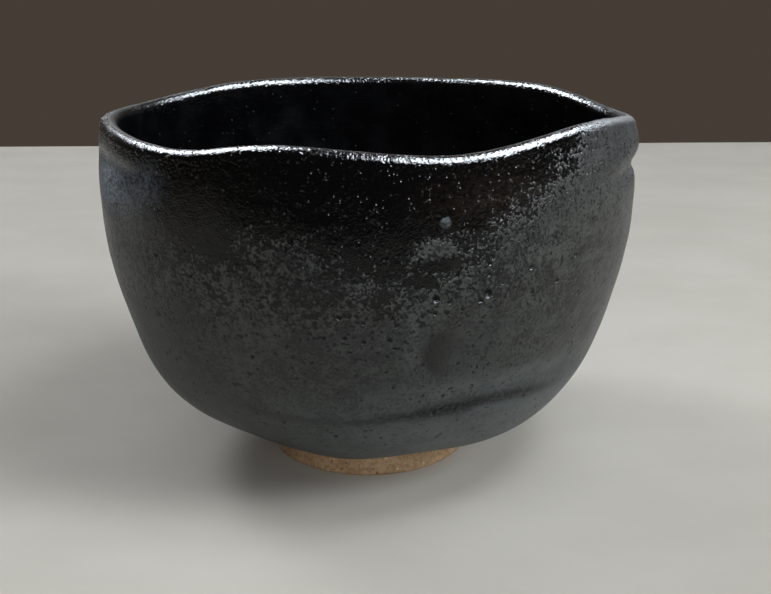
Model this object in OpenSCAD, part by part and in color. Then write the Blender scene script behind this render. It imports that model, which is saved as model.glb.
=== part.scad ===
// Matcha tea bowl (chawan): a hand-formed stoneware bowl with a black glaze and a bare foot ring.
// Frame: the origin is at the centre of the foot's resting face, +Z is up and the front is -Y.
// Angles are in degrees, measured from +X towards +Y. Lengths are in millimetres.

/* [Vessel] */
// Widest radius of the belly
belly_r = 60; // [54:0.5:66]
// Height of the widest part of the belly
belly_z = 64; // [60:0.5:68]
// How far the belly stands out past the lip
lip_lean = 0.9; // [0:0.1:3]
// Radius of the rounded lip, half of the wall's thickness there
lip_r = 1.9; // [1.5:0.1:2.6]
// Thickness of the coat of glaze
glaze_t = 0.8; // [0.4:0.1:1.2]
// Height of the floor inside the bowl
floor_z = 11.8; // [11:0.1:16]

/* [Foot] */
// Height of the foot ring
foot_h = 7.4; // [6.5:0.1:8.5]
// Outer radius of the foot ring, just above its resting face
foot_r = 23.1; // [22.3:0.1:24]
// Outer radius of the foot ring where it joins the body
foot_top_r = 22.2; // [20:0.1:22.3]
// Radius of the recess inside the foot ring
recess_r = 15.5; // [12:0.5:17]
// Height of the low boss that is left in the middle of the recess
boss_h = 1.2; // [0:0.1:2]
// Width of the bevels on the edges of the resting face
foot_bevel = 0.8; // [0.3:0.1:1.2]

/* [Hand-formed shape] */
// Height and depth of the rim's five hills and five dips, as a share of the full wave
rim_wave = 1; // [0:0.1:1.5]
// How far the plan is drawn out of round into an oval
oval = 0.6; // [0:0.1:1.5]
// How far the plan is drawn into three soft corners
three_corner = 0.4; // [0:0.1:1]
// How much higher the underside is on the left than on the right, halved
under_tilt = 0.9; // [0:0.1:1.5]
// Depth of the six broad facets left by trimming the underside
trim_wave = 0.5; // [0:0.1:0.8]

/* [Smoothness] */
// Number of steps around the bowl
steps_round = 48; // [36:6:60]
// Number of rings up the outside
outside_rings = 20; // [16:1:24]
// Number of rings down the inside
inside_rings = 14; // [10:1:18]
// Number of steps over the rounded lip, an even number
lip_steps = 8; // [4:2:10]

/* [Hidden] */

// Mean height of the rim, and of the centre of the rounded lip's section
rim_z = 80.4;
lip_z = rim_z - lip_r;
lip_outer_r = belly_r - lip_lean;
lip_inner_r = lip_outer_r - 2 * lip_r;

// The five hills and five dips of the rim: [angle, height]
RIM = [[9, 78.9], [44, 81.4], [78, 80.8], [121, 81.2], [159, 79.6],
       [194, 80.8], [229, 79.6], [254, 82.1], [286, 79.9], [321, 83.0]];

// Marks of the hand and of the spatula: [angle, height, half width in degrees, half height, amount]
// An amount below zero is pressed in, and one above zero stands out.
MARKS = [
    [-13, 75.3, 22, 4.0, 0.8],   // lip drawn outwards on the right
    [-13, 70.3, 16, 2.2, -1.9],  // throat under the lip on the right
    [207, 73.5, 14, 1.8, -0.6],  // throat under the lip on the left
    [301, 30.5, 22, 3.0, -0.8],  // spatula cut low on the front right
    [301, 25.0, 24, 2.6, 0.5],   // ridge under the spatula cut
    [286, 42.0, 5.5, 5.5, -0.9], // finger dent on the front
];

// Bowl outside, from the foot up to the lip, as [radius, height] of the glaze's surface
OUTSIDE = [
    [foot_top_r + 0.5, foot_h - glaze_t],
    [31, 8.4],
    [39, 12.4],
    [belly_r - 13.5, 18.4],
    [belly_r - 7.7, 27.5],
    [belly_r - 3.4, 41],
    [belly_r - 0.8, 53],
    [belly_r, belly_z],
    [belly_r - 0.2, 72],
    [lip_outer_r, lip_z],
];

// Bowl inside, from the lip down to the middle of the floor
INSIDE = [
    [lip_inner_r, lip_z],
    [belly_r - 5.0, 68],
    [belly_r - 6.3, 54],
    [belly_r - 9.5, 38],
    [belly_r - 15.5, 25],
    [34, 16.5],
    [20, 12.8],
    [8, floor_z],
    [0, floor_z],
];

// Eases from 0 to 1 like a half turn of a wave
function ease(t) = (1 - cos(180 * t)) / 2;
// Steps smoothly from 0 at "from" to 1 at "to"
function smooth(x, from, to) = ease(max(0, min(1, (x - from) / (to - from))));
// Brings a difference of angles into -180 to 180
function turn(a) = a - 360 * round(a / 360);

// Height of the rim at an angle: the hills and dips are joined by half waves
function rim_span(angle, i) =
    let (a = RIM[i],
         b = RIM[(i + 1) % len(RIM)],
         width = turn(b[0] - a[0]),
         t = turn(angle - a[0] - width / 2) / width + 0.5)
    t >= 0 && t < 1 ? a[1] + (b[1] - a[1]) * ease(t) : 0;
function rim_height(angle) = max([for (i = [0:len(RIM) - 1]) rim_span(angle, i)]);
function rim_offset(angle) = rim_wave * (rim_height(angle) - rim_z);

// Radial shape of one mark at an angle and height
function mark(m, angle, z) =
    m[4] * exp(-pow(turn(angle - m[0]) / m[2], 2) - pow((z - m[1]) / m[3], 2));
function marks_at(angle, z) = sum_of([for (m = MARKS) mark(m, angle, z)]);
function sum_of(list) = list * [for (v = list) 1];

// Places a point of the outline, [radius, height], at an angle on the irregular bowl
function shaped(point, angle) =
    let (under = smooth(point[0], 24, 32) * (1 - smooth(point[1], 8, 34)),
         tilt = under_tilt * cos(angle - 190) + trim_wave * cos(6 * (angle - 230)),
         tilted_z = point[1] + under * tilt,
         z = tilted_z + rim_offset(angle) * smooth(tilted_z, 38, 78),
         plan = oval * cos(2 * (angle - 22)) + three_corner * cos(3 * (angle - 5)),
         wall = smooth(z, 8, 26),
         r = point[0] <= foot_top_r ? point[0] : point[0] + plan * wall + marks_at(angle, z))
    [r * cos(angle), r * sin(angle), z];

// A smooth curve that passes through every point of a list
function pass(a, b, c, d, t) =
    (2 * b + (c - a) * t + (2 * a - 5 * b + 4 * c - d) * t * t + (3 * b - a - 3 * c + d) * t * t * t) / 2;
function curve(points, steps) =
    let (n = len(points),
         ends = concat([2 * points[0] - points[1]], points, [2 * points[n - 1] - points[n - 2]]))
    [for (k = [0:steps])
        let (s = (n - 1) * k / steps,
             i = min(floor(s), n - 2))
        pass(ends[i], ends[i + 1], ends[i + 2], ends[i + 3], s - i)];

// Moves every point of an outline into the solid, along the outline's normal
function inset(points, depth) =
    [for (k = [0:len(points) - 1])
        let (before = points[max(k - 1, 0)],
             after = points[min(k + 1, len(points) - 1)],
             along = (after - before) / norm(after - before))
        points[k] - depth * [along[1], -along[0]]];

// The whole glazed surface in one outline: up the outside, over the lip and down to the centre
lip_arc = [for (k = [1:lip_steps - 1])
    let (a = 180 * k / lip_steps)
    [lip_outer_r - lip_r + lip_r * cos(a), lip_z + lip_r * sin(a)]];
glazed = concat(curve(OUTSIDE, outside_rings), lip_arc, curve(INSIDE, inside_rings));
clay = inset(glazed, glaze_t);
crest = outside_rings + lip_steps / 2;
last = len(glazed) - 1;

function part_of(list, from, to) = [for (k = [from:to]) list[k]];
function reversed(list) = [for (k = [len(list) - 1:-1:0]) list[k]];

// Two triangles between rings a and b at step j. The diagonal always starts at the lower ring, so
// that two pieces which share a surface share its triangles too.
function quad(a, b, j, rising) =
    let (n = (j + 1) % steps_round,
         bl = a * steps_round + j,
         br = a * steps_round + n,
         tl = b * steps_round + j,
         tr = b * steps_round + n)
    rising ? [[bl, tl, tr], [bl, tr, br]] : [[bl, tl, br], [tl, tr, br]];

function rings_of(outline) =
    [for (p = outline, j = [0:steps_round - 1]) shaped(p, 360 * j / steps_round)];

// A ring-shaped solid whose section is the closed outline
module ring_solid(outline) {
    n = len(outline);
    faces = [for (k = [0:n - 1], j = [0:steps_round - 1])
        each quad(k, (k + 1) % n, j, outline[(k + 1) % n][1] > outline[k][1])];
    polyhedron(rings_of(outline), faces);
}

// A solid whose section runs from bottom_z on the axis, round the outline, to top_z on the axis
module turned_solid(bottom_z, outline, top_z) {
    n = len(outline);
    bottom = n * steps_round;
    top = bottom + 1;
    sides = [for (k = [0:n - 2], j = [0:steps_round - 1])
        each quad(k, k + 1, j, outline[k + 1][1] > outline[k][1])];
    caps = [for (j = [0:steps_round - 1])
        let (next = (j + 1) % steps_round)
        each [[bottom, j, next],
              [top, (n - 1) * steps_round + next, (n - 1) * steps_round + j]]];
    polyhedron(concat(rings_of(outline), [[0, 0, bottom_z], [0, 0, top_z]]), concat(sides, caps));
}

// Fired clay vessel: wall, rolled lip and floor
module clay_body() {
    underside = [
        [recess_r / 3, foot_h - 0.7 * boss_h],
        [recess_r * 2 / 3, foot_h - 0.2 * boss_h],
        [recess_r, foot_h],
        [foot_top_r, foot_h],
    ];
    color("sienna")
        turned_solid(foot_h - boss_h, concat(underside, part_of(clay, 0, last - 1)), clay[last][1]);
}

// Foot ring of bare sandy clay, with a flat resting face
module foot_ring() {
    color("tan")
        rotate_extrude($fn = 96)
            polygon([
                [recess_r + foot_bevel, 0],
                [foot_r - foot_bevel, 0],
                [foot_r, foot_bevel],
                [foot_top_r, foot_h],
                [recess_r, foot_h],
                [recess_r, foot_bevel],
            ]);
}

// Coat of black glaze outside, from the foot up to the crest of the lip
module outer_glaze() {
    color("#1c1f20")
        ring_solid(concat(part_of(glazed, 0, crest), reversed(part_of(clay, 0, crest))));
}

// Coat of black glaze inside, from the crest of the lip down over the floor
module inner_glaze() {
    color("#0c0c0e")
        turned_solid(
            clay[last][1],
            concat(reversed(part_of(clay, crest, last - 1)), part_of(glazed, crest, last - 1)),
            glazed[last][1]);
}

clay_body();
foot_ring();
outer_glaze();
inner_glaze();
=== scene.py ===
import math

import bpy
import numpy as np
from mathutils import Matrix, Vector, noise


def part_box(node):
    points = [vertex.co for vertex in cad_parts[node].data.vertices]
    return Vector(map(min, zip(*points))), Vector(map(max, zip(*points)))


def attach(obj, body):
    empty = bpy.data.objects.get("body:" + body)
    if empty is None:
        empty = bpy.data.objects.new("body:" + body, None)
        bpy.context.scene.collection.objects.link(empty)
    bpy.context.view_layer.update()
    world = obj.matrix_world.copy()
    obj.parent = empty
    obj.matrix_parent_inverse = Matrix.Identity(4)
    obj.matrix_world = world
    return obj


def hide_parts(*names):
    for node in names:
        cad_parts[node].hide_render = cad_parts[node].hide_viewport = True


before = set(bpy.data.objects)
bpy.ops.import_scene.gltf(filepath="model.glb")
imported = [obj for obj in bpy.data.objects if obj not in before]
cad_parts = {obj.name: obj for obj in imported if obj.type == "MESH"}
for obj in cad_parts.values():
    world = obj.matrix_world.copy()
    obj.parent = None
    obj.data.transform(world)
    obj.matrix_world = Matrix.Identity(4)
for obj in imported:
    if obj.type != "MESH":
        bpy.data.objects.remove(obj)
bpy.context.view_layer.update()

# A hand-formed black tea bowl. Shapes are worked out in millimetres and angles in degrees from +X
# towards +Y, as in the CAD model, and turned into metres when a mesh is made. The front is -Y.

MM = 0.001
_, FOOT_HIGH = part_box("foot_ring")

# ---------------------------------------------------------------- driving dimensions, in mm
FOOT_R = FOOT_HIGH.x / MM
FOOT_H = FOOT_HIGH.z / MM
FOOT_TOP_R = FOOT_R - 0.9
FOOT_BEVEL = 0.8
FOOT_MIDDLE_R = 19.0    # radius that parts the inner face of the foot ring from the outer one
FOOT_UNEVEN_FROM = 1.2  # height over which the foot's unevenness grows
FOOT_UNEVEN_TO = 0.6    # how far under the top it has faded out
RECESS_R = 15.5
BOSS_R = 1.5            # flat middle of the boss
BOSS_H = 1.2
BELLY_R = 60.0
BELLY_Z = 64.0
LIP_R = 1.9
LIP_OUTER_R = BELLY_R - 0.9
LIP_INNER_R = LIP_OUTER_R - 2 * LIP_R
RIM_Z = 80.4
LIP_Z = RIM_Z - LIP_R
GLAZE_T = 0.8
FLOOR_Z = 11.8
JOINT_GAP = 0.02        # gap between two pieces that touch, so that no two faces share a place
FRONT = 270             # angle of the bowl's front

# The five hills and five dips of the rim: (angle, height)
RIM = [(9, 78.9), (44, 81.4), (78, 80.8), (121, 81.2), (159, 79.6),
       (194, 80.8), (229, 79.6), (254, 82.1), (286, 79.9), (321, 83.0)]
RIM_GROWS = (38, 78)    # heights between which the rim's hills and dips grow

# Slow waves round the bowl: (amount, how many in one round, angle of a peak)
PLAN_WAVES = [(0.6, 2, 22), (0.4, 3, 5)]        # out and in, on the whole wall
PLAN_GROWS = (8, 26)                            # heights between which they grow
UNDER_WAVES = [(0.9, 1, 190), (0.5, 6, 230)]    # up and down, under the belly
UNDER_GROWS = (24, 32)                          # radii between which they grow
UNDER_FADES = (8, 34)                           # heights between which they fade

# Marks of the hand and of the spatula: (angle, height, half width in degrees, half height, amount)
MARKS = [
    (-13, 75.3, 22, 4.0, 0.8),   # lip drawn outwards on the right
    (-13, 70.3, 16, 2.2, -1.9),  # throat under the lip on the right
    (207, 73.5, 14, 1.8, -0.6),  # throat under the lip on the left
    (301, 30.5, 22, 3.0, -0.8),  # spatula cut low on the front right
    (301, 25.0, 24, 2.6, 0.5),   # ridge under the spatula cut
    (286, 42.0, 5.5, 5.5, -0.9),  # finger dent on the front
]

# Bowl outside, from the foot up to the lip, as (radius, height) of the glaze's surface
OUTSIDE = [(FOOT_TOP_R + 0.5, FOOT_H - GLAZE_T), (31, 8.4), (39, 12.4), (BELLY_R - 13.5, 18.4),
           (BELLY_R - 7.7, 27.5), (BELLY_R - 3.4, 41), (BELLY_R - 0.8, 53), (BELLY_R, BELLY_Z),
           (BELLY_R - 0.2, 72), (LIP_OUTER_R, LIP_Z)]
# Bowl inside, from the lip down to the middle of the floor
INSIDE = [(LIP_INNER_R, LIP_Z), (BELLY_R - 5.0, 68), (BELLY_R - 6.3, 54), (BELLY_R - 9.5, 38),
          (BELLY_R - 15.5, 25), (34, 16.5), (20, 12.8), (8, FLOOR_Z), (0, FLOOR_Z)]
# Recess in the foot, from the middle of its low boss out to the ring
RECESS = [(BOSS_R, FOOT_H - BOSS_H), (RECESS_R / 3, FOOT_H - 0.7 * BOSS_H),
          (RECESS_R * 2 / 3, FOOT_H - 0.2 * BOSS_H), (RECESS_R, FOOT_H)]
# Section of the foot ring, round its softened edges and back to its start
FOOT_SECTION = [(RECESS_R, FOOT_H - JOINT_GAP), (RECESS_R, FOOT_BEVEL),
                (RECESS_R + 0.25 * FOOT_BEVEL, 0.25 * FOOT_BEVEL), (RECESS_R + FOOT_BEVEL, 0),
                (FOOT_R - FOOT_BEVEL, 0), (FOOT_R - 0.25 * FOOT_BEVEL, 0.25 * FOOT_BEVEL),
                (FOOT_R, FOOT_BEVEL), (FOOT_TOP_R, FOOT_H - JOINT_GAP),
                (RECESS_R, FOOT_H - JOINT_GAP)]

# ---------------------------------------------------------------- mesh resolution
STEPS_ROUND = 540
OUTSIDE_RINGS = 150
LIP_RINGS = 24
INSIDE_RINGS = 96
BACK_RINGS = 10
CLAY_STEPS = 180
CLAY_RINGS = 90
RECESS_RINGS = 24
FOOT_STEPS = 360
FOOT_RINGS = 96
CURVE_STEPS = 40        # fine steps between two points of an outline, before it is evened out
FRONT_DENSITY = 1.6     # how much closer the steps lie at the front than at the back
FRONT_SPREAD = 45.0     # half width of that closer stretch, in degrees
WALL_DENSITY = 0.9      # how much closer the rings lie on the wall than under it
WALL_GROWS = (34, 44)   # heights between which the rings close up
NO_LENGTH = 1e-9        # a vector shorter than this has no direction


# ---------------------------------------------------------------- the bowl's shape
def smooth(x, start, end):
    """Eases from 0 at start to 1 at end, like half a turn of a wave."""
    t = np.clip((x - start) / (end - start), 0, 1)
    return (1 - np.cos(np.pi * t)) / 2


def turn(angle):
    """Brings a difference of angles into -180 to 180."""
    return (np.asarray(angle) + 180) % 360 - 180


def cosd(angle):
    """Cosine of an angle in degrees."""
    return np.cos(np.radians(angle))


def right_side(angle, start, end):
    """Eases in towards the right of the bowl, where the cosine of the angle is near 1."""
    return smooth(cosd(angle), start, end)


def around(points, angle):
    """A value that goes round the bowl through (angle, value) points, joined by half waves."""
    ring = [(points[-1][0] - 360, points[-1][1])] + points + [(points[0][0] + 360, points[0][1])]
    angle = np.asarray(angle) % 360
    value = np.zeros_like(angle, dtype=float)
    for (a0, v0), (a1, v1) in zip(ring, ring[1:]):
        here = (angle >= a0) & (angle < a1)
        value = np.where(here, v0 + (v1 - v0) * smooth(angle, a0, a1), value)
    return value


def waves(angle, rows):
    """Adds up waves of (amount, how many in one round, angle of a peak)."""
    return sum(amount * cosd(count * (angle - peak)) for amount, count, peak in rows)


def marks_at(angle, z, marks):
    """Radial relief of all the marks at once."""
    total = np.zeros(np.broadcast(angle, z).shape)
    for centre, height, half_width, half_height, amount in marks:
        across = turn(angle - centre) / half_width
        total += amount * np.exp(-across ** 2 - ((z - height) / half_height) ** 2)
    return total


def turned(outline, angles):
    """An outline of (radius, height) at every angle, as a plain turned shape: two grids."""
    r = outline[:, 0][:, None] + 0 * angles[None, :]
    z = outline[:, 1][:, None] + 0 * angles[None, :]
    return r, z


def shaped(outline, angles):
    """The turned outline bent into the bowl's hand-formed shape: radius and height grids."""
    r, z = turned(outline, angles)
    angle = angles[None, :]
    free = r > FOOT_TOP_R
    under = smooth(r, *UNDER_GROWS) * (1 - smooth(z, *UNDER_FADES))
    z = z + under * waves(angle, UNDER_WAVES)
    z = z + (around(RIM, angle) - RIM_Z) * smooth(z, *RIM_GROWS)
    plan = waves(angle, PLAN_WAVES) * smooth(z, *PLAN_GROWS)
    r = np.where(free, r + plan + marks_at(angle, z, MARKS), r)
    return r, z


def curve(points, steps):
    """A smooth curve of steps + 1 points that passes through every point of the list."""
    p = np.array(points, float)
    p = np.vstack([2 * p[0] - p[1], p, 2 * p[-1] - p[-2]])
    s = np.linspace(0, len(points) - 1, steps + 1)
    i = np.minimum(s.astype(int), len(points) - 2)
    t = (s - i)[:, None]
    a, b, c, d = p[i], p[i + 1], p[i + 2], p[i + 3]
    return (2 * b + (c - a) * t + (2 * a - 5 * b + 4 * c - d) * t ** 2
            + (3 * b - a - 3 * c + d) * t ** 3) / 2


def even(outline, steps, wall_density=0.0):
    """The same outline with its points evenly spaced along it, or closer together on the wall."""
    size = np.linalg.norm(np.diff(outline, axis=0), axis=1)
    size = size * (1 + wall_density * smooth(outline[1:, 1], *WALL_GROWS))
    length = np.concatenate([[0], np.cumsum(size)])
    s = np.linspace(0, length[-1], steps + 1)
    return np.stack([np.interp(s, length, outline[:, 0]), np.interp(s, length, outline[:, 1])], 1)


def inset(outline, depth):
    """Moves every point of an outline into the solid, along the outline's normal."""
    before = np.vstack([outline[:1], outline[:-1]])
    after = np.vstack([outline[1:], outline[-1:]])
    along = after - before
    along = along / np.linalg.norm(along, axis=1)[:, None]
    return outline - depth * np.stack([along[:, 1], -along[:, 0]], 1)


def glazed_outline():
    """The glazed surface up the outside, over the lip and down to the centre. Also its crest."""
    outside = even(curve(OUTSIDE, CURVE_STEPS * len(OUTSIDE)), OUTSIDE_RINGS, WALL_DENSITY)
    inside = even(curve(INSIDE, CURVE_STEPS * len(INSIDE)), INSIDE_RINGS)
    a = np.radians(np.linspace(0, 180, LIP_RINGS + 1))[1:-1]
    arc = np.stack([LIP_OUTER_R - LIP_R + LIP_R * np.cos(a), LIP_Z + LIP_R * np.sin(a)], 1)
    return np.vstack([outside, arc, inside]), OUTSIDE_RINGS + LIP_RINGS // 2


def angles_round():
    """Angles of the steps round the bowl, closer together at the front than at the back."""
    fine = np.linspace(0, 360, 20 * 360 + 1)
    density = 1 + FRONT_DENSITY * np.exp(-(turn(fine - FRONT) / FRONT_SPREAD) ** 2)
    passed = np.concatenate([[0], np.cumsum((density[1:] + density[:-1]) / 2)])
    share = np.arange(STEPS_ROUND) / STEPS_ROUND
    return np.interp(share, passed / passed[-1], fine)


def even_angles(steps):
    """Angles of so many even steps round the bowl."""
    return np.arange(steps) * (360 / steps)


def to_points(r, z, angles):
    """Grids of radius and height to a grid of points, in mm."""
    return np.stack([r * cosd(angles)[None, :], r * np.sin(np.radians(angles))[None, :], z], -1)


def grid_normals(points):
    """Outward normals of a grid of points, ring by ring and closed round the bowl."""
    sideways = np.roll(points, -1, axis=1) - np.roll(points, 1, axis=1)
    up = np.gradient(points, axis=0)
    n = np.cross(sideways, up)
    size = np.linalg.norm(n, axis=2, keepdims=True)
    n = n / np.maximum(size, NO_LENGTH)
    n[size[..., 0] < NO_LENGTH] = (0, 0, 1)
    return n


# ---------------------------------------------------------------- fine relief of the glaze
# Layers of noise: (amount, wavelength, octaves, seed)
UNEVEN = (0.16, 17.0, 2, 1)         # unevenness of the whole glaze
SOFT_PEEL = (0.050, 4.6, 2, 2)      # orange peel, slow part
FINE_PEEL = (0.034, 1.5, 2, 3)      # orange peel, fine part
CLAY_GRAIN = (0.10, 1.6, 3, 5)      # grain of the clay in the recess
FOOT_GRAIN = (0.07, 1.3, 4, 6)      # grain of the clay on the foot ring
FOOT_WOBBLE = (0.15, 11.0, 2, 7)    # slow unevenness of the foot ring
OCTAVE_FALL = 0.9                   # how fast the finer octaves of a layer fade
OCTAVE_STEP = 2.0                   # how much finer each octave is than the one before it
SEED_SHIFT = (17.3, 5.1, 9.7)       # how far one seed's noise lies from the next

# Craters where bubbles burst in the glaze: (angle, height, radius, depth)
CRATERS = [
    (293.0, 53.2, 0.95, 0.60), (282.5, 53.3, 0.80, 0.50), (291.5, 52.0, 0.60, 0.35),
    (282.5, 50.3, 0.50, 0.30), (264.5, 50.1, 0.55, 0.35), (269.0, 48.9, 0.45, 0.30),
    (274.5, 49.6, 0.45, 0.30), (275.2, 48.0, 0.40, 0.30), (261.5, 45.7, 0.42, 0.32),
    (265.5, 45.7, 0.50, 0.36), (269.0, 44.8, 0.48, 0.34), (274.0, 45.0, 0.55, 0.40),
    (275.0, 43.1, 0.46, 0.34), (277.0, 44.5, 0.40, 0.28), (273.5, 41.4, 0.36, 0.26),
    (266.5, 42.5, 0.34, 0.24), (246.5, 40.2, 0.50, 0.32), (226.5, 58.5, 0.60, 0.40),
    (295.0, 68.0, 0.50, 0.30), (293.0, 57.1, 0.45, 0.30), (293.0, 59.4, 0.45, 0.30),
    (302.5, 57.1, 0.52, 0.34), (303.5, 51.7, 0.45, 0.30), (310.0, 53.0, 0.50, 0.30),
    (314.5, 57.4, 0.50, 0.30), (288.0, 50.5, 0.50, 0.30), (262.0, 21.5, 0.50, 0.30),
    (289.5, 27.2, 0.50, 0.30), (286.0, 27.6, 0.55, 0.34), (284.5, 27.0, 0.55, 0.34),
]
# Long pits that the brush left: (angle, height, half width in degrees, half height, relief)
LONG_PITS = [
    (285.3, 52.2, 0.85, 0.40, -0.40),
    (286.5, 58.5, 0.60, 1.60, -0.25),
    (279.0, 62.5, 0.50, 0.90, -0.20),
]
# A blister of glaze that stands out: (angle, height, radius, height above the surface)
BLISTER = (284.0, 68.1, 1.15, 0.28)
UNROLL_R = 58.0         # radius at which the wall is unrolled to place its marks
MARK_REACH = 4          # how far a round mark is felt, in radii
NARROWEST_R = 50        # radius of the bowl that bounds a mark's reach in degrees
PINHOLES = 420
PINHOLE_SEED = 11
PINHOLE_Z = 58          # height round which the pinholes lie
PINHOLE_SPREAD = 11
PINHOLE_LOWEST = 14
PINHOLE_HIGHEST = 77
PINHOLE_R = 0.26        # the smallest pinhole
PINHOLE_R_MORE = 0.22   # how much larger the largest one is
INNER_RELIEF = 0.5      # share of the relief that the inner coat has
INNER_START = 6         # rings past the crest at which the inner relief starts
FOOT_EDGE_RINGS = 6     # rings over which the relief dies out at the foot
CENTRE_RINGS = 4        # rings over which it dies out at the middle of the floor


def noise_grid(points, layer):
    """A layer of smooth noise at every point, about as strong as its amount on either side of 0."""
    amount, wavelength, octaves, seed = layer
    shift = Vector([step * seed for step in SEED_SHIFT])
    flat = points.reshape(-1, 3) / wavelength
    out = np.empty(len(flat))
    for k, p in enumerate(flat):
        out[k] = noise.fractal(Vector(p) + shift, OCTAVE_FALL, OCTAVE_STEP, octaves)
    return amount * out.reshape(points.shape[:2])


def pit_shape(distance):
    """Relief of a round pit of unit radius: a bowl with a low raised edge."""
    bowl = -np.clip(1 - distance ** 2, 0, 1)
    edge = 0.25 * np.exp(-((distance - 1.05) / 0.28) ** 2)
    return bowl + edge


def dome_shape(distance):
    """Relief of a round blister of unit radius."""
    return np.exp(-(distance / 0.8) ** 2)


def round_marks(angle, z, r, rows, shape):
    """Adds up round marks of (angle, height, radius, amount), each only near its own place."""
    total = np.zeros_like(z)
    for centre, height, radius, amount in rows:
        reach = np.degrees(MARK_REACH * radius / NARROWEST_R)
        near = np.nonzero(np.abs(turn(angle - centre)) < reach)[0]
        if len(near) == 0:
            continue
        across = np.radians(turn(angle[near] - centre))[None, :] * r[:, near]
        distance = np.hypot(across, z[:, near] - height) / radius
        total[:, near] += amount * shape(np.minimum(distance, MARK_REACH))
    return total


def pinhole_rows():
    """Small pits, most of them on the rough band in the middle of the wall."""
    rng = np.random.default_rng(PINHOLE_SEED)
    rows = []
    for _ in range(PINHOLES):
        height = rng.normal(PINHOLE_Z, PINHOLE_SPREAD)
        if PINHOLE_LOWEST < height < PINHOLE_HIGHEST:
            radius = PINHOLE_R + PINHOLE_R_MORE * rng.random() ** 2
            rows.append((rng.uniform(0, 360), height, radius, 0.5 * radius))
    return rows


def peel_zone(angle, z):
    """How strong the orange peel is: most on the upper wall and the right, least low down."""
    upper = smooth(z, 40, 56)
    right = 0.75 * right_side(angle + 8, 0.31, 0.82) * smooth(z, 20, 38)
    low = 0.16 + 0.10 * smooth(z, 20, 40)
    return np.maximum(np.maximum(upper, right), low)


def glaze_relief(points, r, z, angles):
    """Relief of the glaze's surface in mm: positive stands out."""
    peel = noise_grid(points, SOFT_PEEL) + noise_grid(points, FINE_PEEL)
    relief = noise_grid(points, UNEVEN) + peel_zone(angles[None, :], z) * peel
    relief += round_marks(angles, z, r, CRATERS + pinhole_rows(), pit_shape)
    relief += round_marks(angles, z, r, [BLISTER], dome_shape)
    relief += marks_at(angles[None, :], z, LONG_PITS)
    return relief


# ---------------------------------------------------------------- meshes
def ring_faces(rings, steps, closed):
    """Quads between neighbouring rings. A closed stack also joins the last ring to the first."""
    k, j = np.meshgrid(np.arange(rings if closed else rings - 1), np.arange(steps), indexing="ij")
    up = (k + 1) % rings
    side = (j + 1) % steps
    quads = np.stack([k * steps + j, k * steps + side, up * steps + side, up * steps + j], -1)
    return quads.reshape(-1, 4).tolist()


def pole_faces(first, steps, pole, flip):
    """A fan of triangles from one ring to a point on the axis."""
    faces = []
    for j in range(steps):
        a, b = first + j, first + (j + 1) % steps
        faces.append((a, pole, b) if flip else (a, b, pole))
    return faces


def capped_faces(rings, steps):
    """Quads of an open stack of rings, closed by a low and a high point that follow the rings."""
    low = rings * steps
    faces = ring_faces(rings, steps, closed=False)
    faces += pole_faces(0, steps, low, flip=True)
    faces += pole_faces((rings - 1) * steps, steps, low + 1, flip=False)
    return faces


def make_piece(name, points, faces, normals=None):
    """A smooth-shaded mesh object from points in mm."""
    mesh = bpy.data.meshes.new(name)
    mesh.from_pydata((points * MM).tolist(), [], faces)
    mesh.validate()
    mesh.polygons.foreach_set("use_smooth", [True] * len(mesh.polygons))
    if normals is not None:
        mesh.normals_split_custom_set_from_vertices(normals.tolist())
    piece = bpy.data.objects.new(name, mesh)
    bpy.context.scene.collection.objects.link(piece)
    return piece


def add_zones(piece, name, masks):
    """A colour attribute that holds three values for the material at every point."""
    attribute = piece.data.color_attributes.new(name, "FLOAT_COLOR", "POINT")
    rgba = np.ones((len(piece.data.vertices), 4), np.float32)
    rgba[:, :3] = np.stack(masks, 1)
    attribute.data.foreach_set("color", rgba.ravel())


def thin_out(grid, rings):
    """A grid with only so many of its rings, the first and the last among them."""
    keep = np.unique(np.linspace(0, len(grid) - 1, rings).round().astype(int))
    return grid[keep]


# ---------------------------------------------------------------- zones that the materials use
# Height up to which the satin film covers the outer glaze: (angle, height)
FILM_EDGE = [(25, 66), (70, 56), (115, 66), (160, 56), (190, 78), (206, 73), (220, 61), (240, 58),
             (250, 63), (257, 62), (264, 57), (272, 55), (280, 56), (288, 60), (300, 67), (310, 74),
             (320, 84), (332, 95), (354, 92)]
FILM_FADE = 12          # half of the height over which the film thins out at its edge
# The dark line of the spatula cut and its fainter run to the left, painted shade in its groove:
# (angle, height, strength)
CUT_LINE = [(236, 27.5, 0.0), (246, 26.6, 0.45), (264, 25.2, 0.35), (274, 26.5, 0.55),
            (284, 27.3, 1.0), (290, 27.6, 1.0), (297, 28.2, 0.80), (311, 27.4, 0.75),
            (326, 26.0, 0.0)]
# Soft spots of the glaze: (angle, height, half width in degrees, half height, strength)
FILM_SPOTS = [(282.5, 63.2, 4.0, 2.0, 0.8)]
# the slate spots are painted light: a lit band above the spatula cut and a lit streak beside the
# finger dent, on its left
LIT_SLATE_SPOTS = [(306, 32.5, 24, 2.4, 0.60), (278.4, 46, 1.3, 6.5, 0.40)]
BROWN_SPOTS = [(293, 72, 11, 5, 0.9), (233, 67, 9, 6, 0.4)]
# the blue spots on the left shoulder are a painted reflection of bluish light
BLUE_REFLECTION_SPOTS = [(209, 69.5, 10, 5, 1.6), (225, 72, 4, 4, 0.45)]
# pale specks of crystals, partly painted glints of the lights on the glaze's bumps
CRYSTAL_AND_GLINT_SPOTS = [(292, 75, 13, 4.5, 0.90)]
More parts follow.
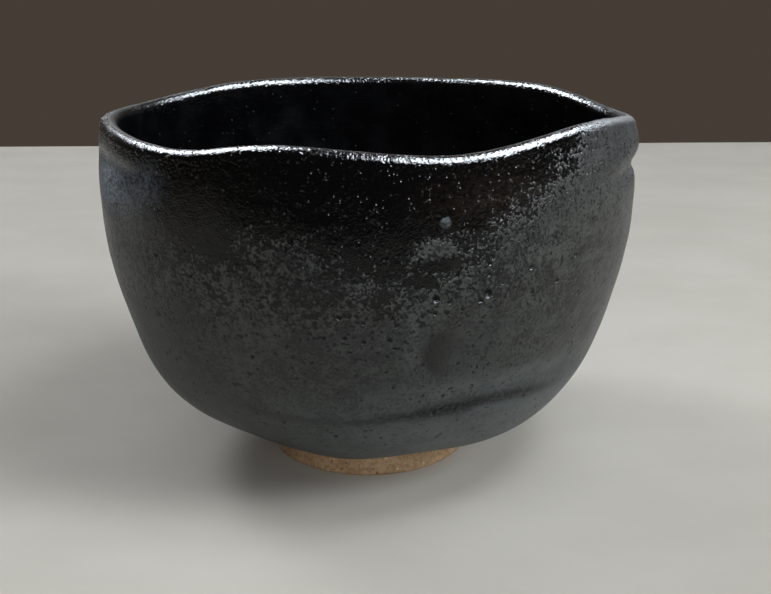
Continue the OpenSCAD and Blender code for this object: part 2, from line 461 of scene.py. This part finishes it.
# Places where the film is missing and the black glaze shows: the same five values
BARE_SPOTS = [
    (272.5, 52.8, 2.4, 1.5, 1), (280.5, 56.8, 3.6, 1.5, 1), (284.5, 59.6, 4.6, 1.5, 1),
    (266.5, 50.6, 1.8, 0.9, 1), (286.5, 54.5, 1.3, 2.6, 1), (262.0, 53.5, 3.0, 1.0, 1),
    (246.5, 60.5, 3.0, 1.2, 1), (241.0, 62.0, 2.6, 1.0, 1), (289.5, 55.0, 1.0, 1.8, 1),
]
# Painted shade in the finger dent: (angle, height, half width in degrees, half height)
DENT_SHADE_SPOT = (285.6, 41.0, 5.2, 5.6)
DENT_SHADE_FADE = 282.5       # angle from which the painted shade fades to the right
CREST_WIDTH = 0.75      # width of the thin glaze on the crest
LIP_REACH = 9           # how far the lip's bumps reach from the crest
# Stretches of the rim: (angle, half width in degrees, amount)
WIDER_CREST = [(195, 20, 1.6), (342, 17, 2.0)]      # where the thin glaze is wider, by so much
CALM_LIP = [(205, 15, 0.85), (332, 14, 0.7)]        # where the lip is less bumpy, by so much


def soft_spots(angle, z, rows):
    """Every soft spot on its own, each from 0 to its strength."""
    return [strength * np.exp(-(turn(angle - centre) / half_width) ** 2
                              - ((z - height) / half_height) ** 2)
            for centre, height, half_width, half_height, strength in rows]


def stretches(angle, rows):
    """Adds up soft stretches of the rim."""
    return sum(amount * np.exp(-(turn(angle - centre) / half_width) ** 2)
               for centre, half_width, amount in rows)


def outer_zones(angle, z, crest_gap):
    """Masks of the outer glaze: satin film, thin glaze on the crest, and orange peel."""
    film = smooth(around(FILM_EDGE, angle) + FILM_FADE - z, 0, 2 * FILM_FADE)
    film = np.clip(film + sum(soft_spots(angle, z, FILM_SPOTS)), 0, 1)
    width = CREST_WIDTH + stretches(angle, WIDER_CREST)
    thin = np.exp(-(crest_gap / width) ** 2)
    return film, thin, peel_zone(angle, z)


def outer_tints(angle, z):
    """Masks of the outer glaze: slate, partly painted light; brown; and painted shade along the
    spatula cut and low on the left wall.
    """
    # slate lies low on the body, more of it on the right and most of it there above the foot; that
    # growth to the right is painted light from the right and a painted reflection of the lit floor
    slate_and_light = (0.10 + 0.80 * right_side(angle, -0.57, 0.57)) * (1 - smooth(z, 22, 36))
    slate_and_light = slate_and_light + 0.80 * right_side(angle, 0.17, 0.64) * (1 - smooth(z, 14, 25))
    # painted light: a lit band above the cut and a lit streak beside the finger dent
    slate_and_light = slate_and_light + sum(soft_spots(angle, z, LIT_SLATE_SPOTS))
    brown = sum(soft_spots(angle, z, BROWN_SPOTS))
    # the painted shade of the cut is wider where it is stronger
    line_angle, line_height, line_strength = np.array(CUT_LINE).T
    height = np.interp(angle, line_angle, line_height)
    strength = np.interp(angle, line_angle, line_strength)
    painted_shade = 1.3 * strength * np.exp(-((z - height) / (0.7 + 0.8 * strength)) ** 2)
    # painted shade low on the left wall
    shade = 0.40 * right_side(angle + 180, 0.30, 0.75) * (1 - smooth(z, 16, 34))
    return np.clip(slate_and_light, 0, 1), np.clip(brown, 0, 1), np.clip(np.maximum(painted_shade, shade), 0, 1)


def outer_spots(angle, z, crest_gap):
    """Masks of the outer glaze: pale crystals, partly painted glints; painted shade in the finger
    dent; and the lip.
    """
    # pale crystal specks, more of them high up near the lip, partly painted glints
    crystals_and_glints = 0.10 * smooth(z, 60, 74) + sum(soft_spots(angle, z, CRYSTAL_AND_GLINT_SPOTS))
    # painted shade in the finger dent, with a clear edge on the left and fading out to the right
    centre, height, half_width, half_height = DENT_SHADE_SPOT
    gap = np.hypot(turn(angle - centre) / half_width, (z - height) / half_height)
    dent_shade = smooth(1.08 - gap, 0, 0.35) * (1 - 0.75 * smooth(turn(angle - DENT_SHADE_FADE), 0, 6))
    lip = np.exp(-(crest_gap / LIP_REACH) ** 2) * (1 - stretches(angle, CALM_LIP))
    return crystals_and_glints, dent_shade, lip


def outer_veils(angle, z):
    """Masks of the outer glaze: blue, mostly a painted reflection; bare patches together with
    painted shade on the upper right; and where small pits crowd.
    """
    # blue: a painted reflection on the left shoulder, and a faint bluish tint of the glaze under
    # the lip on the right
    blue = sum(soft_spots(angle, z, BLUE_REFLECTION_SPOTS))
    blue = blue + 0.09 * right_side(angle, 0.64, 0.91) * smooth(z, 62, 76)
    # painted shade on the upper right: the film is taken away there, less so close to the rim
    upper_right_shade = right_side(angle, 0.55, 0.85) * smooth(z, 58, 72) * (0.72 - 0.52 * smooth(z, 75, 81))
    bare_and_shade = np.maximum.reduce(soft_spots(angle, z, BARE_SPOTS) + [upper_right_shade])
    # small pits crowd in the band where the film breaks up, with few of them on the right
    crowd = np.exp(-((z - 55) / 10) ** 2) * (1 - 0.85 * right_side(angle + 8, 0.20, 0.64))
    return np.clip(blue, 0, 1), bare_and_shade, crowd


def wall_place(angle, z):
    """Where a point is on the unrolled wall, in mm: how far round from the front, and how high."""
    return np.radians(turn(angle - FRONT)) * UNROLL_R, z, np.zeros_like(z)


def add_glaze_zones(piece, crest_r, crest_z):
    """Gives a coat all its masks. The crest's radius and height are one value for every step."""
    co = np.empty(len(piece.data.vertices) * 3)
    piece.data.vertices.foreach_get("co", co)
    x, y, z = co.reshape(-1, 3).T / MM
    angle = np.degrees(np.arctan2(y, x)) % 360
    step = np.arange(len(z)) % STEPS_ROUND
    crest_gap = np.hypot(np.hypot(x, y) - crest_r[step], 2 * (z - crest_z[step]))
    add_zones(piece, "zones", outer_zones(angle, z, crest_gap))
    add_zones(piece, "tints", outer_tints(angle, z))
    add_zones(piece, "spots", outer_spots(angle, z, crest_gap))
    add_zones(piece, "veils", outer_veils(angle, z))
    add_zones(piece, "wall", wall_place(angle, z))


# ---------------------------------------------------------------- pieces of the bowl
def coat(name, surface, normals, clay_side, to_axis):
    """A closed skin of glaze between its outer surface and the clay side under it."""
    under = thin_out(clay_side, BACK_RINGS)
    back = under[::-1]
    back_normals = -grid_normals(under)[::-1]
    if not to_axis:
        grid = np.vstack([surface, back])
        faces = ring_faces(len(grid), STEPS_ROUND, closed=True)
        return make_piece(name, grid.reshape(-1, 3), faces,
                          np.vstack([normals, back_normals]).reshape(-1, 3))
    # the last ring of each side lies on the axis, so it becomes a single point there
    grid = np.vstack([back[1:], surface[:-1]])
    grid_up = np.vstack([back_normals[1:], normals[:-1]])
    points = np.vstack([grid.reshape(-1, 3), clay_side[-1, 0], surface[-1, 0]])
    vertex_normals = np.vstack([grid_up.reshape(-1, 3), [[0, 0, -1], [0, 0, 1]]])
    return make_piece(name, points, capped_faces(len(grid), STEPS_ROUND), vertex_normals)


def glaze_coats():
    """The outer and the inner coat of glaze, which meet along the crest of the lip."""
    outline, crest = glazed_outline()
    angles = angles_round()
    r, z = shaped(outline, angles)
    points = to_points(r, z, angles)
    relief = glaze_relief(points, r, z, angles)
    ring = np.arange(len(outline))
    relief[ring > crest + INNER_START] *= INNER_RELIEF
    at_foot = smooth(ring, 0, FOOT_EDGE_RINGS)[:, None]
    at_centre = smooth(len(outline) - 1 - ring, 0, CENTRE_RINGS)[:, None]
    points = points + grid_normals(points) * (relief * at_foot * at_centre)[..., None]
    normals = grid_normals(points)
    clay_points = to_points(*shaped(inset(outline, GLAZE_T), angles), angles)

    outer = coat("outer_glaze_coat", points[:crest + 1], normals[:crest + 1],
                 clay_points[:crest + 1], to_axis=False)
    inner = coat("inner_glaze_coat", points[crest:], normals[crest:],
                 clay_points[crest:], to_axis=True)
    add_glaze_zones(outer, r[crest], z[crest])
    add_glaze_zones(inner, r[crest], z[crest])
    return outer, inner


def clay_vessel():
    """The fired clay under the glaze: only the middle of the underside shows, in the recess."""
    outline, _ = glazed_outline()
    vessel = thin_out(inset(outline, GLAZE_T + JOINT_GAP)[:-1], CLAY_RINGS)
    under = np.vstack([curve(RECESS, RECESS_RINGS), [(FOOT_TOP_R, FOOT_H)]])
    angles = even_angles(CLAY_STEPS)
    points = to_points(*shaped(np.vstack([under, vessel]), angles), angles)
    points[:len(under), :, 2] += noise_grid(points[:len(under)], CLAY_GRAIN)
    poles = [[0, 0, FOOT_H - BOSS_H], [0, 0, FLOOR_Z - GLAZE_T]]
    return make_piece("fired_clay_body", np.vstack([points.reshape(-1, 3), poles]),
                      capped_faces(len(points), CLAY_STEPS))


def foot_piece():
    """The foot ring: a slightly uneven ring of sandy clay with softened edges."""
    outline = even(np.array(FOOT_SECTION, float), FOOT_RINGS)[:-1]
    angles = even_angles(FOOT_STEPS)
    r, z = turned(outline, angles)
    points = to_points(r, z, angles)
    uneven = noise_grid(points, FOOT_GRAIN) + noise_grid(points, FOOT_WOBBLE)
    standing = smooth(z, 0, FOOT_UNEVEN_FROM) * smooth(FOOT_H - z, 0, FOOT_UNEVEN_TO)
    r = r + standing * uneven * np.where(r > FOOT_MIDDLE_R, 1, -1)
    return make_piece("foot_ring_clay", to_points(r, z, angles).reshape(-1, 3),
                      ring_faces(len(outline), FOOT_STEPS, closed=True))


# ---------------------------------------------------------------- material helpers
class Nodes:
    """A short way to write a material's nodes."""

    def __init__(self, name):
        self.material = bpy.data.materials.new(name)
        self.material.use_nodes = True
        self.tree = self.material.node_tree
        self.shader = self.tree.nodes["Principled BSDF"]
        self.position = self.add("ShaderNodeTexCoord").outputs["Object"]

    def add(self, kind, **settings):
        """A new node with its settings."""
        node = self.tree.nodes.new(kind)
        for key, value in settings.items():
            setattr(node, key, value)
        return node

    def put(self, socket, value):
        """Links a socket, or sets its value."""
        if isinstance(value, bpy.types.NodeSocket):
            self.tree.links.new(value, socket)
        else:
            socket.default_value = value

    def noise(self, wavelength, detail=3.0, rough=0.55, stretch=None):
        """Noise from 0 to 1. Wavelength is in mm."""
        node = self.add("ShaderNodeTexNoise")
        source = self.position
        if stretch:
            mapping = self.add("ShaderNodeMapping")
            self.put(mapping.inputs["Vector"], source)
            mapping.inputs["Scale"].default_value = stretch
            source = mapping.outputs["Vector"]
        self.put(node.inputs["Vector"], source)
        node.inputs["Scale"].default_value = 1 / (wavelength * MM)
        node.inputs["Detail"].default_value = detail
        node.inputs["Roughness"].default_value = rough
        return node.outputs["Fac"]

    def cells(self, wavelength, output="Distance"):
        """Voronoi cells: distance to the nearest cell's centre, or its random colour."""
        node = self.add("ShaderNodeTexVoronoi")
        self.put(node.inputs["Vector"], self.position)
        node.inputs["Scale"].default_value = 1 / (wavelength * MM)
        return node.outputs[output]

    def math(self, operation, a, b=0.0, c=0.0):
        """A math node of up to three values."""
        node = self.add("ShaderNodeMath", operation=operation)
        for socket, value in zip(node.inputs, (a, b, c)):
            self.put(socket, value)
        return node.outputs[0]

    def plus(self, a, b):
        return self.math("ADD", a, b)

    def times(self, a, b):
        return self.math("MULTIPLY", a, b)

    def times_plus(self, a, b, c):
        """a times b, plus c."""
        return self.math("MULTIPLY_ADD", a, b, c)

    def larger(self, a, b):
        return self.math("MAXIMUM", a, b)

    def ramp(self, value, low, high, out_low=0.0, out_high=1.0):
        """A smooth step from out_low to out_high while value goes from low to high."""
        node = self.add("ShaderNodeMapRange", interpolation_type="SMOOTHSTEP")
        for key, entry in zip(("Value", "From Min", "From Max", "To Min", "To Max"),
                              (value, low, high, out_low, out_high)):
            self.put(node.inputs[key], entry)
        return node.outputs[0]

    def dots(self, wavelength, pick, size):
        """Round dots in the cells that a random draw picks. Both pairs are ends of a ramp."""
        return self.times(self.ramp(self.cells(wavelength, "Color"), *pick),
                          self.ramp(self.cells(wavelength), *size))

    def mix(self, share, a, b):
        """Mixes two colours."""
        node = self.add("ShaderNodeMix", data_type="RGBA")
        self.put(node.inputs["Factor"], share)
        self.put(node.inputs["A"], a if isinstance(a, bpy.types.NodeSocket) else (*a, 1))
        self.put(node.inputs["B"], b if isinstance(b, bpy.types.NodeSocket) else (*b, 1))
        return node.outputs["Result"]

    def zones(self, name):
        """The three masks of a colour attribute."""
        attribute = self.add("ShaderNodeAttribute", attribute_name=name)
        split = self.add("ShaderNodeSeparateColor")
        self.put(split.inputs["Color"], attribute.outputs["Color"])
        return split.outputs[0], split.outputs[1], split.outputs[2]

    def nearest(self, rows):
        """Gap to the nearest of some round marks, in radii. Rows start (angle, height, radius)."""
        wall = self.add("ShaderNodeAttribute", attribute_name="wall").outputs["Vector"]
        nearest = None
        for angle, height, radius, *_ in rows:
            gap = self.add("ShaderNodeVectorMath", operation="DISTANCE")
            self.put(gap.inputs[0], wall)
            self.put(gap.inputs[1], (math.radians(angle - FRONT) * UNROLL_R, height, 0))
            away = self.math("DIVIDE", gap.outputs["Value"], radius)
            nearest = away if nearest is None else self.math("MINIMUM", nearest, away)
        return nearest

    def ragged(self, rows, rag, amount):
        """Round marks of the wall as a mask, with an outline made ragged by a noise."""
        gap = self.times_plus(self.math("SUBTRACT", rag, 0.5), amount, self.nearest(rows))
        return self.ramp(gap, *MARK_EDGE)

    def bump(self, height, distance, strength=1.0, normal=None):
        """Bump of a height from 0 to 1. Distance is in mm."""
        node = self.add("ShaderNodeBump")
        node.inputs["Distance"].default_value = distance * MM
        self.put(node.inputs["Strength"], strength)
        self.put(node.inputs["Height"], height)
        if normal is not None:
            self.put(node.inputs["Normal"], normal)
        return node.outputs["Normal"]

    def surface(self, **values):
        """Sets inputs of the shader, named with _ for each space, and gives the material."""
        for key, value in values.items():
            self.put(self.shader.inputs[key.replace("_", " ")], value)
        return self.material


# ---------------------------------------------------------------- materials
BLACK = (0.0010, 0.0012, 0.0017)
FILM_DARK = (0.0185, 0.0205, 0.0200)
FILM_PALE = (0.034, 0.0380, 0.0365)
GRAIN_DARK = (0.0045, 0.0050, 0.0048)
GRAIN_PALE = (0.050, 0.054, 0.051)
# slate of the lower body; where its mask grows to the right it is painted light
SLATE = (0.078, 0.093, 0.096)
# blue of the left shoulder, a painted reflection
BLUE = (0.110, 0.138, 0.175)
BROWN = (0.014, 0.0100, 0.0070)
# painted shade in the finger dent
DENT_SHADE = (0.0075, 0.0070, 0.0066)
THIN_BROWN = (0.050, 0.044, 0.039)
BEAD = (0.042, 0.054, 0.066)
# pale specks: crystals, partly painted glints
CRYSTAL_AND_GLINT = (0.24, 0.23, 0.21)
INNER_DARK = (0.0010, 0.0011, 0.0015)
INNER_PALE = (0.0032, 0.0034, 0.0040)
CLAY_DARK = (0.34, 0.22, 0.118)
CLAY_PALE = (0.46, 0.32, 0.19)
CLAY_SHADE = (0.24, 0.15, 0.08)
SAND_PALE = (0.62, 0.50, 0.36)
SAND_DARK = (0.07, 0.035, 0.018)
FLOOR_DARK = (0.58, 0.56, 0.51)
FLOOR_PALE = (0.62, 0.60, 0.55)
GLAZE_IOR = 1.37
CLAY_IOR = 1.45
CRATER_RAG = 1.1            # how ragged the outlines of the craters and the blister are
BLISTER_RAG = 1.2
MARK_EDGE = (1.10, 0.75)    # radii between which they fade in


def film_colour(n, grain, broad, slate_and_light, peel):
    """The satin film: fine grain in broad clouds, grainier on the orange peel, slate low down,
    partly painted light.
    """
    tone = n.times_plus(grain, 0.75, n.times(n.noise(20.0, 3.0, 0.5), 0.35))
    tone = n.times_plus(broad, 0.40, tone)
    dark = n.mix(peel, FILM_DARK, GRAIN_DARK)
    pale = n.mix(peel, FILM_PALE, GRAIN_PALE)
    colour = n.mix(n.ramp(tone, 0.64, 0.86), dark, pale)
    return n.mix(n.times(slate_and_light, n.ramp(tone, 0.60, 0.84, 0.40, 1.0)), colour, SLATE)


def film_cover(n, film, bare_and_shade, grain, fine, broad):
    """Where the film is: it breaks up into grains and islands before bare glaze takes over."""
    edge = n.times_plus(fine, 1.3, n.times(broad, 0.7))
    edge = n.times_plus(grain, 1.8, edge)
    cover = n.plus(film, n.math("SUBTRACT", edge, 1.90))
    # bare patches and the painted shade of the upper right take the film away
    return n.ramp(n.math("SUBTRACT", cover, n.times(bare_and_shade, 0.45)), 0.28, 0.72)


def film_holes(n, crowd, grain, broad):
    """Small black holes in the film, thick in the band where it breaks up."""
    blobs = n.noise(1.5, 1.5, 0.5, stretch=(1.0, 1.0, 1.3))
    holes = n.ramp(n.times_plus(crowd, 0.09, blobs), 0.61, 0.67)
    holes = n.times(holes, n.ramp(n.times_plus(crowd, 0.15, broad), 0.48, 0.62))
    pick = n.times_plus(crowd, 0.50, n.cells(1.2, "Color"))
    pocks = n.ramp(n.times_plus(grain, 0.7, n.cells(1.2)), 0.72, 0.60)
    return n.larger(holes, n.times(pocks, n.ramp(pick, 0.80, 0.86)))


def outer_roughness(n, filmed, peel, dark, thin, matte, grain):
    """Bare glaze is glossy, the film is satin and the thin crest is nearly matte."""
    rough = n.ramp(filmed, 0.0, 1.0, 0.10, 0.34)
    rough = n.plus(rough, n.ramp(peel, 0.1, 0.9, 0.10, 0.0))
    rough = n.plus(rough, n.times(dark, 0.06))
    rough = n.plus(rough, n.times(thin, 0.16))
    rough = n.plus(rough, n.times(matte, 0.35))
    return n.plus(rough, n.ramp(grain, 0.3, 0.7, -0.04, 0.06))


def outer_normal(n, filmed, peel, lip, pits, fine):
    """Fine relief: grain of the film, orange peel, bumps of the lip, dimples and pits."""
    bumps = n.times_plus(n.noise(0.38, 2.0, 0.6), 0.55, n.times(fine, 0.45))
    grainy = n.times(filmed, peel)
    normal = n.bump(bumps, 0.13, n.times_plus(grainy, 0.9, n.ramp(peel, 0.0, 1.0, 0.30, 1.0)))
    normal = n.bump(grainy, 0.07, 0.8, normal)
    normal = n.bump(n.noise(0.75, 1.5, 0.5), 0.21, lip, normal)
    dimples = n.dots(0.9, (0.56, 0.74), (0.28, 0.10))
    normal = n.bump(n.times(dimples, -1.0), 0.08, n.ramp(peel, 0.1, 0.8, 0.1, 1.0), normal)
    return n.bump(n.times(pits, -1.0), 0.14, 0.7, normal)


def outer_glaze_material():
    """Glossy black glaze under a satin grey film, with tints, holes, crystals and a brown crest.
    Some colour is painted light: light in the slate and the blue, glints among the crystals, and
    shade in the cut, the finger dent, the pits, low on the left and on the upper right.
    """
    n = Nodes("black_glaze")
    film, thin, peel = n.zones("zones")
    slate_and_light, brown, painted_shade = n.zones("tints")
    crystals_and_glints, dent_shade, lip = n.zones("spots")
    blue, bare_and_shade, crowd = n.zones("veils")
    grain = n.noise(0.65, 3.0, 0.65)
    fine = n.noise(1.1, 4.0, 0.62, stretch=(1.0, 1.0, 1.5))
    broad = n.noise(4.0, 3.0, 0.6, stretch=(1.0, 1.0, 1.4))

    filmed = film_cover(n, film, bare_and_shade, grain, fine, broad)
    # the slate in the film is partly painted light
    colour = n.mix(filmed, BLACK, film_colour(n, grain, broad, slate_and_light, peel))
    # blue: a painted reflection on the left shoulder, and a faint bluish tint on the right
    colour = n.mix(n.times(blue, n.ramp(fine, 0.40, 0.56, 0.10, 0.95)), colour, BLUE)
    colour = n.mix(n.times(brown, n.ramp(fine, 0.38, 0.58, 0.1, 1.0)), colour, BROWN)
    # painted shade in the finger dent
    colour = n.mix(n.times(dent_shade, n.ramp(grain, 0.35, 0.60, 0.65, 1.0)), colour, DENT_SHADE)
    # painted shade along the spatula cut and low on the left wall
    colour = n.mix(n.times(painted_shade, n.ramp(fine, 0.38, 0.55, 0.60, 1.0)), colour, BLACK)

    pins = n.dots(1.8, (0.54, 0.58), (0.24, 0.13))
    pins = n.times(pins, n.ramp(n.plus(crowd, broad), 0.60, 0.80))
    pits = n.larger(n.ragged(CRATERS, n.noise(0.7, 2.0), CRATER_RAG), pins)
    dark = n.larger(film_holes(n, crowd, grain, broad), pits)
    # black in the holes of the film, and painted shade in the craters and pinholes
    colour = n.mix(n.times(dark, 0.95), colour, BLACK)
    bead = n.ragged([BLISTER], grain, BLISTER_RAG)
    colour = n.mix(bead, colour, n.mix(n.ramp(grain, 0.40, 0.60), FILM_DARK, BEAD))
    colour = n.mix(n.times(thin, n.ramp(grain, 0.3, 0.6, 0.45, 0.95)), colour, THIN_BROWN)
    # pale specks: crystals, partly painted glints
    specks = n.times(n.dots(0.95, (0.62, 0.85), (0.30, 0.12)), n.ramp(fine, 0.45, 0.60))
    colour = n.mix(n.times(specks, crystals_and_glints), colour, CRYSTAL_AND_GLINT)

    rough = outer_roughness(n, filmed, peel, dark, thin, n.larger(bead, blue), grain)
    normal = outer_normal(n, filmed, peel, lip, pits, fine)
    return n.surface(Base_Color=colour, Roughness=rough, Normal=normal, IOR=GLAZE_IOR)


def inner_glaze_material():
    """Glossy black glaze with a few pale specks, partly painted glints, thin and brown on the
    crest.
    """
    n = Nodes("inner_black_glaze")
    _, thin, _ = n.zones("zones")
    _, _, lip = n.zones("spots")
    fine = n.noise(1.0, 3.0, 0.6)
    broad = n.noise(9.0, 3.0, 0.55)
    colour = n.mix(n.ramp(broad, 0.4, 0.8), INNER_DARK, INNER_PALE)
    # pale specks, partly painted glints
    specks = n.dots(1.0, (0.78, 0.82), (0.24, 0.12))
    colour = n.mix(n.times(specks, 0.22), colour, CRYSTAL_AND_GLINT)
    colour = n.mix(n.times(thin, 0.85), colour, THIN_BROWN)
    rough = n.plus(n.ramp(broad, 0.3, 0.7, 0.12, 0.20), n.times(thin, 0.28))
    bumps = n.times_plus(n.noise(0.6, 2.0, 0.6), 0.5, n.times(fine, 0.5))
    normal = n.bump(bumps, 0.20, 0.8)
    normal = n.bump(n.noise(0.75, 1.5, 0.5), 0.26, lip, normal)
    return n.surface(Base_Color=colour, Roughness=rough, Normal=normal, IOR=GLAZE_IOR)


def clay_material():
    """Bare sandy clay: warm patches, fine grain, and pale and dark grains of sand."""
    n = Nodes("bare_clay")
    grain = n.noise(0.9, 5.0, 0.7)
    patch = n.noise(7.0, 3.0, 0.6)
    colour = n.mix(n.ramp(patch, 0.3, 0.7), CLAY_DARK, CLAY_PALE)
    colour = n.mix(n.ramp(grain, 0.42, 0.60, 0.0, 0.70), colour, CLAY_SHADE)
    colour = n.mix(n.times(n.dots(1.3, (0.72, 0.80), (0.30, 0.18)), 0.7), colour, SAND_PALE)
    colour = n.mix(n.times(n.dots(1.0, (0.66, 0.76), (0.30, 0.16)), 0.8), colour, SAND_DARK)
    rough = n.ramp(grain, 0.3, 0.7, 0.82, 0.95)
    normal = n.bump(n.plus(grain, n.times(n.noise(0.35, 2.0), 0.5)), 0.16, 0.8)
    return n.surface(Base_Color=colour, Roughness=rough, Normal=normal, IOR=CLAY_IOR)


def floor_material():
    """A plain pale floor, a little cloudy."""
    n = Nodes("pale_floor")
    colour = n.mix(n.ramp(n.noise(60.0, 3.0), 0.3, 0.7), FLOOR_DARK, FLOOR_PALE)
    rough = n.ramp(n.noise(9.0, 3.0), 0.3, 0.7, 0.80, 0.90)
    return n.surface(Base_Color=colour, Roughness=rough, Specular_IOR_Level=0.0)


# ---------------------------------------------------------------- stage, in metres
CAMERA_DISTANCE = 0.2662
CAMERA_HEIGHT = 0.1198
CAMERA_SIDE = 0.0003
CAMERA_DOWN = 17.53
CAMERA_RIGHT = 0.80
CAMERA_ROLL = 0.20
CAMERA_LENS = 54.63
CAMERA_SENSOR = 36.0
CAMERA_NEAR = 0.01
FLOOR_SIDE = 0.45
FLOOR_BACK = 0.406
FLOOR_FRONT = 0.22
ROOM = (0.060, 0.047, 0.036)
LIGHT_AIM = (0, 0, 0.05)
# Soft lights that shade the bowl and are not seen in it: (name, place, size, power, colour)
SOFT_LIGHTS = [
    ("ceiling", (0.1, -0.5, 1.5), (2.6, 2.2), 7.0, (0.93, 0.97, 1.0)),
    ("soft_box_right", (0.42, -0.20, 0.88), (0.30, 0.30), 2.2, (0.94, 0.97, 1.0)),
    ("soft_box_low", (0.76, -0.34, 0.50), (0.34, 0.34), 4.9, (0.94, 0.97, 1.0)),
    ("soft_box_left", (-0.56, 0.38, 0.74), (0.30, 0.30), 3.1, (0.92, 0.96, 1.0)),
    ("front_fill", (0.1, -1.1, 0.30), (1.4, 0.4), 4.5, (0.95, 0.97, 1.0)),
]
# Lights that are seen in the glaze and do not shade it: the same values
GLINTS = [
    ("glint_right", (0.52, -0.08, 0.82), (1.20, 0.50), 108.0, (0.84, 0.92, 1.0)),
    ("glint_left", (-0.43, 0.35, 0.77), (0.50, 0.42), 44.0, (0.84, 0.92, 1.0)),
]


def make_camera():
    """The camera, a little above the rim and in front of the bowl."""
    data = bpy.data.cameras.new("camera")
    data.lens = CAMERA_LENS
    data.sensor_width = CAMERA_SENSOR
    data.clip_start = CAMERA_NEAR
    camera = bpy.data.objects.new("camera", data)
    bpy.context.scene.collection.objects.link(camera)
    facing = Matrix.Rotation(math.radians(-CAMERA_RIGHT), 4, "Z")
    pitch = Matrix.Rotation(math.radians(90 - CAMERA_DOWN), 4, "X")
    roll = Matrix.Rotation(math.radians(-CAMERA_ROLL), 4, "Z")
    place = Matrix.Translation((CAMERA_SIDE, -CAMERA_DISTANCE, CAMERA_HEIGHT))
    camera.matrix_world = place @ facing @ pitch @ roll
    bpy.context.scene.camera = camera


def area_light(name, place, size, power, colour):
    """A rectangular light that looks at the bowl."""
    data = bpy.data.lights.new(name, "AREA")
    data.shape = "RECTANGLE"
    data.size, data.size_y = size
    data.energy = power
    data.color = colour
    light = bpy.data.objects.new(name, data)
    aim = (Vector(LIGHT_AIM) - Vector(place)).to_track_quat("-Z", "Y")
    light.matrix_world = Matrix.Translation(place) @ aim.to_matrix().to_4x4()
    bpy.context.scene.collection.objects.link(light)
    return light


def make_floor():
    """The flat floor that the bowl stands on."""
    bpy.ops.mesh.primitive_plane_add(size=1)
    floor = bpy.context.active_object
    floor.name = "floor"
    floor.scale = (2 * FLOOR_SIDE, FLOOR_BACK + FLOOR_FRONT, 1)
    floor.location = (0, (FLOOR_BACK - FLOOR_FRONT) / 2, 0)
    floor.data.materials.append(floor_material())


def make_room():
    """A plain dark room, seen behind the floor."""
    world = bpy.data.worlds.new("room")
    bpy.context.scene.world = world
    world.use_nodes = True
    background = world.node_tree.nodes["Background"]
    background.inputs["Color"].default_value = (*ROOM, 1)
    background.inputs["Strength"].default_value = 1.0


def make_lights():
    """All the lights, each seen either in the shading or in the reflections."""
    for row in SOFT_LIGHTS:
        area_light(*row).visible_glossy = False
    for row in GLINTS:
        area_light(*row).visible_diffuse = False


# ---------------------------------------------------------------- assembly
def dress(piece, material, node):
    """Gives a piece its material, attaches it to the root body and hides the node's part that it
    stands for.
    """
    piece.data.materials.append(material)
    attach(piece, "root")
    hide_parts(node)


make_camera()
make_floor()
make_room()
make_lights()
outer_coat, inner_coat = glaze_coats()
clay = clay_material()
dress(outer_coat, outer_glaze_material(), "outer_glaze")
dress(inner_coat, inner_glaze_material(), "inner_glaze")
dress(clay_vessel(), clay, "clay_body")
dress(foot_piece(), clay, "foot_ring")
bpy.context.scene.view_settings.view_transform = "Standard"
